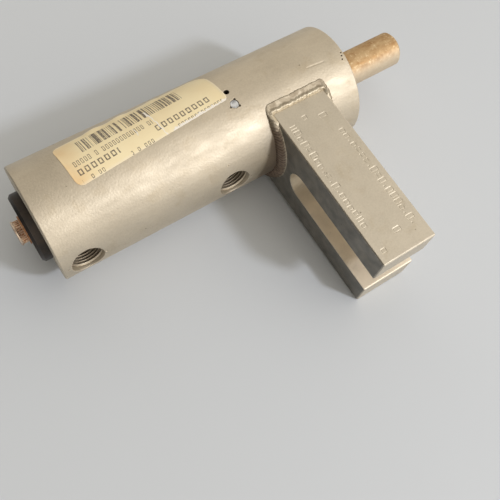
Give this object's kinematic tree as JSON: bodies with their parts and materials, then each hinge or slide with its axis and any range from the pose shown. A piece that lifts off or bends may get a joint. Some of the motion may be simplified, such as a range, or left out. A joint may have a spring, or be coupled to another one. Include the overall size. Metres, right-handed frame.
{
  "type": "pneumatic cylinder",
  "caption": "Short heavy-walled air cylinder with a turned body, two threaded side ports, a bronze rod and a forked bracket welded square to its side.",
  "frame": {"origin": "centre of the body's front face, on the cylinder axis, where the rod comes out", "axes": "+X along the cylinder axis towards the rod tip, -Y towards the free end of the fork bracket, +Z square to the bracket's wide faces"},
  "size_m": [0.1447, 0.0877, 0.0383],
  "materials": {
    "nickel_steel": "satin warm grey plating, lightly scuffed",
    "bracket_steel": "satin plated bar with tool marks and stamped dots",
    "weld_metal": "rippled weld with brown heat tint",
    "rod_bronze": "worn brown bronze",
    "black_steel": "black oxide",
    "screw_steel": "zinc plate with rust",
    "copper": "dull copper",
    "pin_steel": "staked bright steel",
    "bushing_bronze": "oil-filled sintered bronze",
    "gland_aluminium": "turned",
    "piston_aluminium": "turned",
    "seal_rubber": "matte",
    "bumper_urethane": "amber urethane",
    "wear_band_plastic": "filled plastic",
    "label_paper": null
  },
  "bodies": {
    "cylinder": {"body": "nickel_steel", "mounting_bracket": "bracket_steel", "weld_bead": "weld_metal", "rear_cap": "black_steel", "rear_cap_oring": "seal_rubber", "rear_bumper": "bumper_urethane", "cap_plug_screw": "screw_steel", "plug_screw_washer": "copper", "front_bumper": "bumper_urethane", "rod_bushing_rear": "bushing_bronze", "rod_bushing_front": "bushing_bronze", "bushing_lock_pin": "pin_steel", "rod_gland": "gland_aluminium", "gland_oring": "seal_rubber", "rod_seal": "seal_rubber", "rod_wiper": "seal_rubber", "gland_snap_ring": "black_steel", "label": "label_paper"},
    "rod": {"piston_rod": "rod_bronze", "piston": "piston_aluminium", "piston_seal_front": "seal_rubber", "piston_seal_rear": "seal_rubber", "piston_wear_band": "wear_band_plastic", "piston_oring": "seal_rubber", "piston_lock_washer": "screw_steel", "piston_nut": "screw_steel"}
  },
  "joints": [
    {"name": "rod_slide", "type": "slide", "parent": "cylinder", "child": "rod", "axis": [1, 0, 0], "range_m": [-0.0254, 0]}
  ]
}
